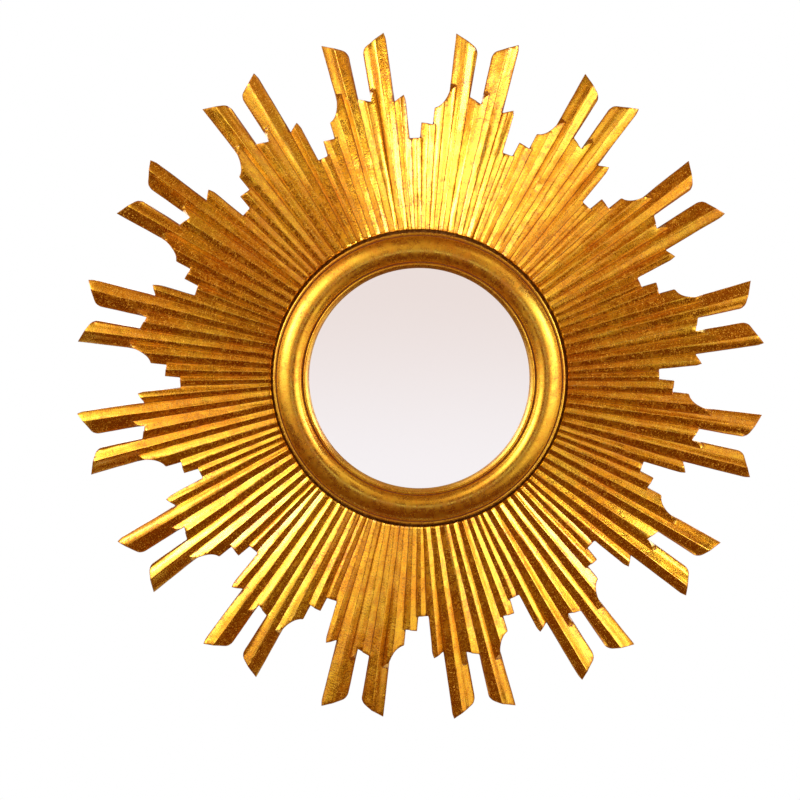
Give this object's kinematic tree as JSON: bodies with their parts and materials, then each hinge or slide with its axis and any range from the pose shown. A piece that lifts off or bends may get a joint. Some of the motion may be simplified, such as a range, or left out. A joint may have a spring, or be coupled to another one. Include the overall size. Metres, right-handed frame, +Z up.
{
  "type": "sunburst wall mirror",
  "caption": "Round flat mirror in a turned ring on a carved, gilded sunburst board with V-cut ridges and paired long rays, hung on the wall by a keyhole plate.",
  "frame": {"origin": "centre of the board's flat back, on the wall", "axes": "+Y into the wall, the front towards -Y, +Z up and +X to the right seen from the front"},
  "size_m": [0.9016, 0.04, 0.9016],
  "materials": {
    "gilded_wood": "carved wood, water-gilded over red-brown bole, rubbed and antiqued with a dark glaze in the grooves",
    "gilded_frame": "turned wood, gilded over red-brown bole, worn through in places",
    "mirror_glass": "flat silvered glass",
    "hanger_steel": "zinc-plated"
  },
  "bodies": {
    "root": {"sunburst": "gilded_wood", "round_frame": "gilded_frame", "mirror_glass": "mirror_glass", "hanger_plate": "hanger_steel", "hanger_screw_left": "hanger_steel", "hanger_screw_right": "hanger_steel"}
  },
  "joints": []
}
